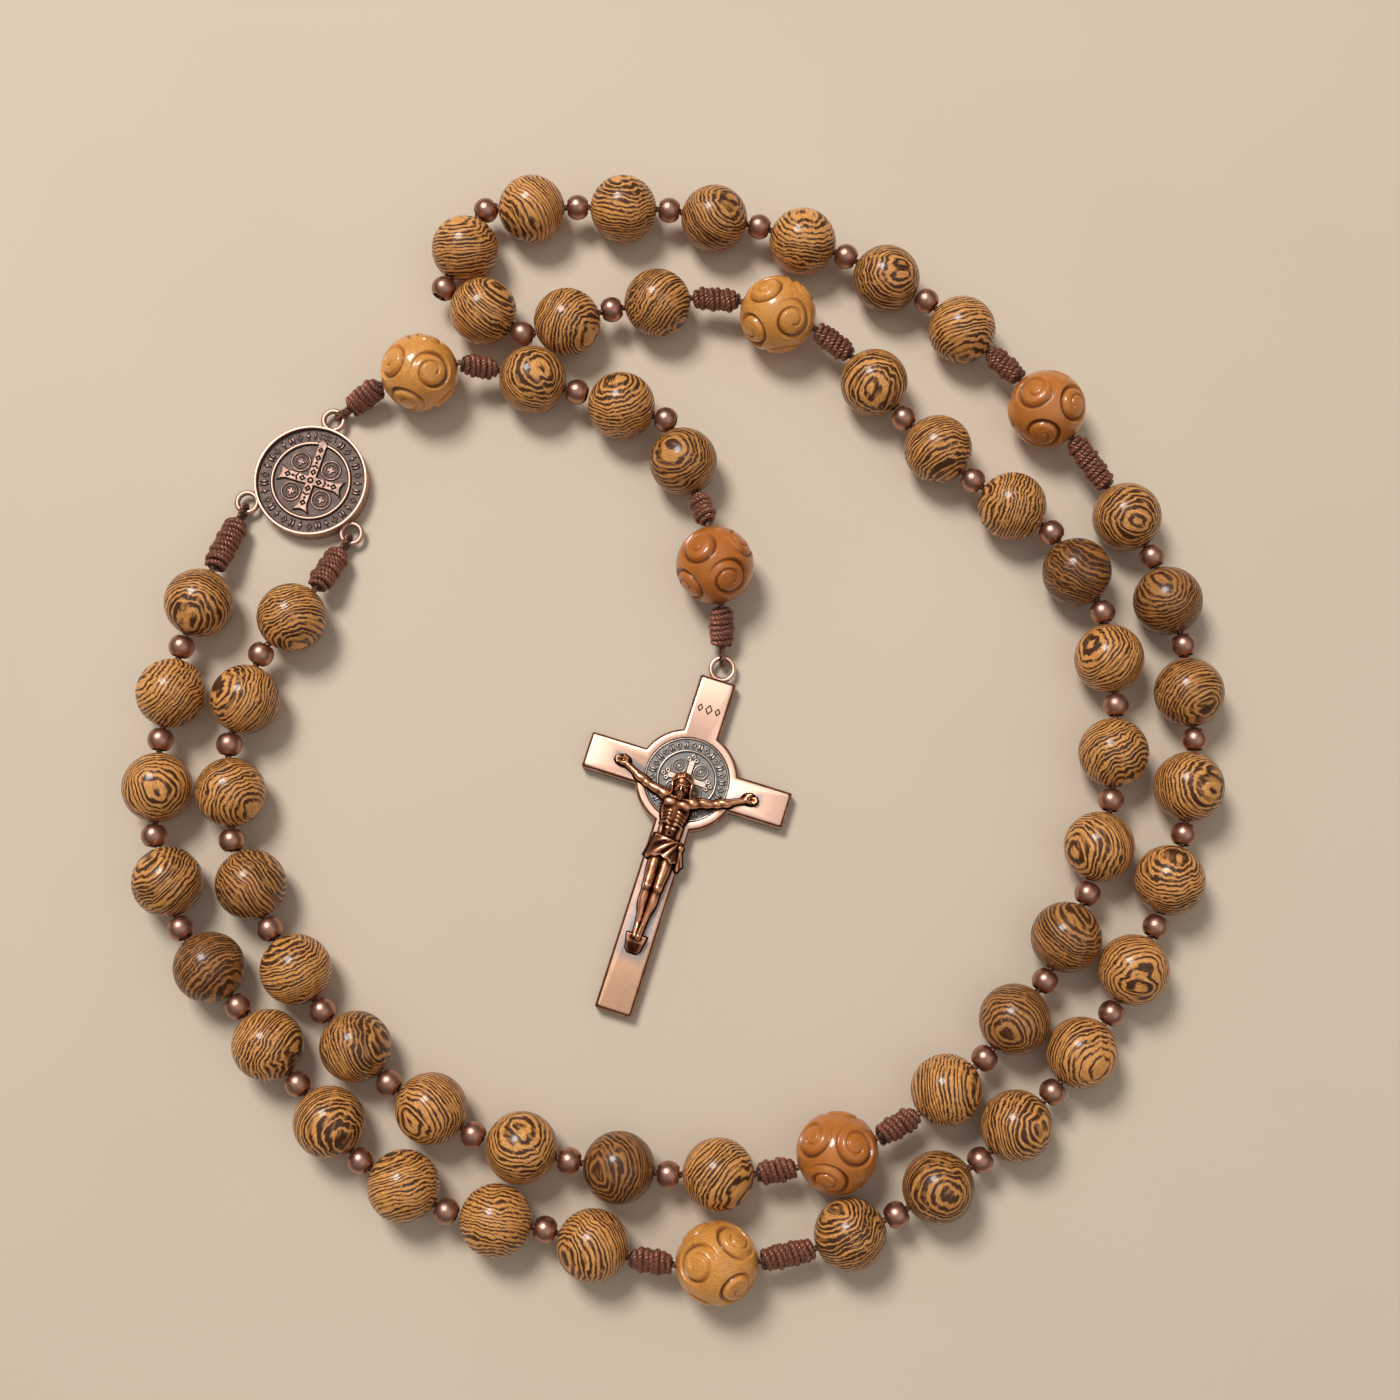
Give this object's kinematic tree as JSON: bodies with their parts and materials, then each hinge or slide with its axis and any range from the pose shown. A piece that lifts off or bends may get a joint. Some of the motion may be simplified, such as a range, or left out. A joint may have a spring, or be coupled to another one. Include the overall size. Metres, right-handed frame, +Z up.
{
  "type": "rosary",
  "caption": "Five-decade cord rosary with striped wooden beads, small copper spacers, carved wooden dividers, a round three-ring centre medal and a crucifix.",
  "frame": {"origin": "middle of the centre medal's back face, on the plane the rosary lies on", "axes": "+Z up from that plane; +X from the medal across the laid-out loop towards its far side, +Y towards the side the pendant leaves from"},
  "size_m": [0.1235, 0.1283, 0.0089],
  "materials": {
    "bead_wood": "striped wood, golden tan with dark brown layers, thin satin varnish",
    "carved_wood": "carved honey-coloured wood, glossy varnish",
    "copper_spacer": "satin antique copper",
    "cord": "dark brown nylon cord",
    "whipping": "shiny dark brown nylon cord, tightly wound",
    "medal_metal": "antique copper plate, polished high spots and dark recesses",
    "cross_metal": "satin rose-copper face with darker bevelled edges",
    "medallion_metal": "darkened relief with rubbed copper high spots",
    "figure_metal": "dark bronze with burnished copper highlights"
  },
  "bodies": {
    "centre_medal": {"centre_medal": "medal_metal"},
    "left_strand_1": {"left_strand_1_beads": "bead_wood", "left_strand_1_spacers": "copper_spacer", "left_strand_1_cord": "cord", "left_strand_1_whipping": "whipping"},
    "left_strand_2": {"left_strand_2_beads": "bead_wood", "left_strand_2_spacers": "copper_spacer", "left_strand_2_cord": "cord"},
    "left_strand_3": {"left_strand_3_beads": "bead_wood", "left_strand_3_spacers": "copper_spacer", "left_strand_3_cord": "cord", "left_strand_3_whippings": "whipping"},
    "left_strand_4": {"left_strand_4_beads": "bead_wood", "left_strand_4_spacers": "copper_spacer", "left_strand_4_cord": "cord", "left_strand_4_whippings": "whipping"},
    "left_strand_5": {"left_strand_5_beads": "bead_wood", "left_strand_5_spacers": "copper_spacer", "left_strand_5_cord": "cord"},
    "right_strand_1": {"right_strand_1_beads": "bead_wood", "right_strand_1_spacers": "copper_spacer", "right_strand_1_cord": "cord", "right_strand_1_whipping": "whipping"},
    "right_strand_2": {"right_strand_2_beads": "bead_wood", "right_strand_2_spacers": "copper_spacer", "right_strand_2_cord": "cord"},
    "right_strand_3": {"right_strand_3_beads": "bead_wood", "right_strand_3_spacers": "copper_spacer", "right_strand_3_cord": "cord", "right_strand_3_whippings": "whipping"},
    "right_strand_4": {"right_strand_4_beads": "bead_wood", "right_strand_4_spacers": "copper_spacer", "right_strand_4_cord": "cord"},
    "right_strand_5": {"right_strand_5_beads": "bead_wood", "right_strand_5_spacers": "copper_spacer", "right_strand_5_cord": "cord", "right_strand_5_whippings": "whipping"},
    "pendant_upper": {"pendant_upper_spacer": "copper_spacer", "pendant_upper_cord": "cord", "pendant_upper_whippings": "whipping"},
    "pendant_bead_upper": {"pendant_upper_bead": "bead_wood"},
    "pendant_middle": {"pendant_middle_spacer": "copper_spacer", "pendant_middle_cord": "cord"},
    "pendant_bead_middle": {"pendant_middle_bead": "bead_wood"},
    "pendant_lower": {"pendant_lower_cord": "cord", "pendant_lower_whippings": "whipping"},
    "pendant_bead_lower": {"pendant_lower_bead": "bead_wood"},
    "carved_bead_1": {"carved_bead_1": "carved_wood"},
    "carved_bead_2": {"carved_bead_2": "carved_wood"},
    "carved_bead_3": {"carved_bead_3": "carved_wood"},
    "carved_bead_4": {"carved_bead_4": "carved_wood"},
    "carved_bead_upper": {"carved_bead_upper": "carved_wood"},
    "carved_bead_lower": {"carved_bead_lower": "carved_wood"},
    "crucifix": {"cross": "cross_metal", "medallion": "medallion_metal", "figure": "figure_metal"}
  },
  "joints": [
    {"name": "loop_swing", "type": "hinge", "parent": "centre_medal", "child": "left_strand_1", "pos_m": [-0.0078, -0.00351, 0.00115], "axis": [-0.9566, 0.2914, 0], "range_deg": [-60, 60]},
    {"name": "loop_swing_right", "type": "hinge", "parent": "centre_medal", "child": "right_strand_1", "pos_m": [0.0043, -0.0072, 0.00115], "axis": [-0.9566, 0.2914, 0], "range_deg": [-60, 60]},
    {"name": "strand_fold_1", "type": "hinge", "parent": "left_strand_1", "child": "left_strand_2", "pos_m": [-0.01557, -0.04153, 0.0039], "axis": [0.9982, -0.0597, 0], "range_deg": [-60, 60]},
    {"name": "strand_fold_1_right", "type": "hinge", "parent": "right_strand_1", "child": "right_strand_2", "pos_m": [-0.00691, -0.04204, 0.0039], "axis": [0.9982, -0.0597, 0], "range_deg": [-60, 60]},
    {"name": "strand_fold_2", "type": "hinge", "parent": "left_strand_2", "child": "left_strand_3", "pos_m": [0.01786, -0.08208, 0.0039], "axis": [-0.3184, -0.948, 0], "range_deg": [-60, 60]},
    {"name": "strand_fold_2_right", "type": "hinge", "parent": "right_strand_2", "child": "right_strand_3", "pos_m": [0.02058, -0.07398, 0.0039], "axis": [-0.3184, -0.948, 0], "range_deg": [-60, 60]},
    {"name": "strand_fold_3", "type": "hinge", "parent": "left_strand_3", "child": "left_strand_4", "pos_m": [0.09541, -0.05158, 0.0039], "axis": [-0.8972, 0.4416, 0], "range_deg": [-60, 60]},
    {"name": "strand_fold_3_right", "type": "hinge", "parent": "right_strand_3", "child": "right_strand_4", "pos_m": [0.08802, -0.04795, 0.0039], "axis": [-0.8972, 0.4416, 0], "range_deg": [-60, 60]},
    {"name": "strand_fold_4", "type": "hinge", "parent": "left_strand_4", "child": "left_strand_5", "pos_m": [0.07157, 0.02113, 0.0039], "axis": [0.2007, 0.9797, 0], "range_deg": [-60, 60]},
    {"name": "strand_fold_4_right", "type": "hinge", "parent": "right_strand_4", "child": "right_strand_5", "pos_m": [0.06865, 0.00687, 0.0039], "axis": [0.2007, 0.9797, 0], "range_deg": [-60, 60]},
    {"name": "pendant_swing", "type": "hinge", "parent": "centre_medal", "child": "pendant_upper", "pos_m": [0.00325, 0.00811, 0.00115], "axis": [0.3963, -0.9181, 0], "range_deg": [-75, 75]},
    {"name": "pendant_bend_upper", "type": "hinge", "parent": "pendant_upper", "child": "pendant_middle", "pos_m": [0.03092, 0.01002, 0.0039], "axis": [0.2756, 0.9613, 0], "range_deg": [-60, 60]},
    {"name": "pendant_bend_lower", "type": "hinge", "parent": "pendant_middle", "child": "pendant_lower", "pos_m": [0.04119, 0.00669, 0.0039], "axis": [-0.309, -0.9511, 0], "range_deg": [-60, 60]},
    {"name": "cross_swing", "type": "hinge", "parent": "pendant_lower", "child": "crucifix", "pos_m": [0.04769, -0.02082, 0.00115], "axis": [1, 0, 0], "range_deg": [-90, 90]},
    {"name": "carved_bead_1_spin", "type": "hinge", "parent": "left_strand_3", "child": "carved_bead_1", "pos_m": [0.04694, -0.0874, 0.00445], "axis": [0.999, 0.0452, 0], "continuous": true},
    {"name": "carved_bead_2_spin", "type": "hinge", "parent": "left_strand_4", "child": "carved_bead_2", "pos_m": [0.08512, 0.0078, 0.00445], "axis": [-0.6303, 0.7763, 0], "continuous": true},
    {"name": "carved_bead_3_spin", "type": "hinge", "parent": "right_strand_5", "child": "carved_bead_3", "pos_m": [0.05422, 0.01924, 0.00445], "axis": [-0.9323, 0.3616, 0], "continuous": true},
    {"name": "carved_bead_4_spin", "type": "hinge", "parent": "right_strand_3", "child": "carved_bead_4", "pos_m": [0.05994, -0.07589, 0.00445], "axis": [0.9405, 0.3397, 0], "continuous": true},
    {"name": "carved_bead_upper_spin", "type": "hinge", "parent": "pendant_upper", "child": "carved_bead_upper", "pos_m": [0.01269, 0.01219, 0.00445], "axis": [0.9625, 0.2313, 0.1417], "continuous": true},
    {"name": "carved_bead_lower_spin", "type": "hinge", "parent": "pendant_lower", "child": "carved_bead_lower", "pos_m": [0.04683, -0.01072, 0.00445], "axis": [0.1554, -0.9775, -0.1427], "continuous": true},
    {"name": "pendant_bead_upper_spin", "type": "hinge", "parent": "pendant_upper", "child": "pendant_bead_upper", "pos_m": [0.02573, 0.01151, 0.0039], "axis": [0.9613, -0.2756, 0], "continuous": true},
    {"name": "pendant_bead_middle_spin", "type": "hinge", "parent": "pendant_middle", "child": "pendant_bead_middle", "pos_m": [0.03605, 0.00835, 0.0039], "axis": [0.9511, -0.309, 0], "continuous": true},
    {"name": "pendant_bead_lower_spin", "type": "hinge", "parent": "pendant_lower", "child": "pendant_bead_lower", "pos_m": [0.04321, 0.00168, 0.0039], "axis": [0.3746, -0.9272, 0], "continuous": true}
  ],
  "couplings": [
    {"joint": "loop_swing_right", "follows": "loop_swing", "ratio": 1},
    {"joint": "strand_fold_1_right", "follows": "strand_fold_1", "ratio": 1},
    {"joint": "strand_fold_2_right", "follows": "strand_fold_2", "ratio": 1},
    {"joint": "strand_fold_3_right", "follows": "strand_fold_3", "ratio": 1},
    {"joint": "strand_fold_4_right", "follows": "strand_fold_4", "ratio": 1}
  ]
}
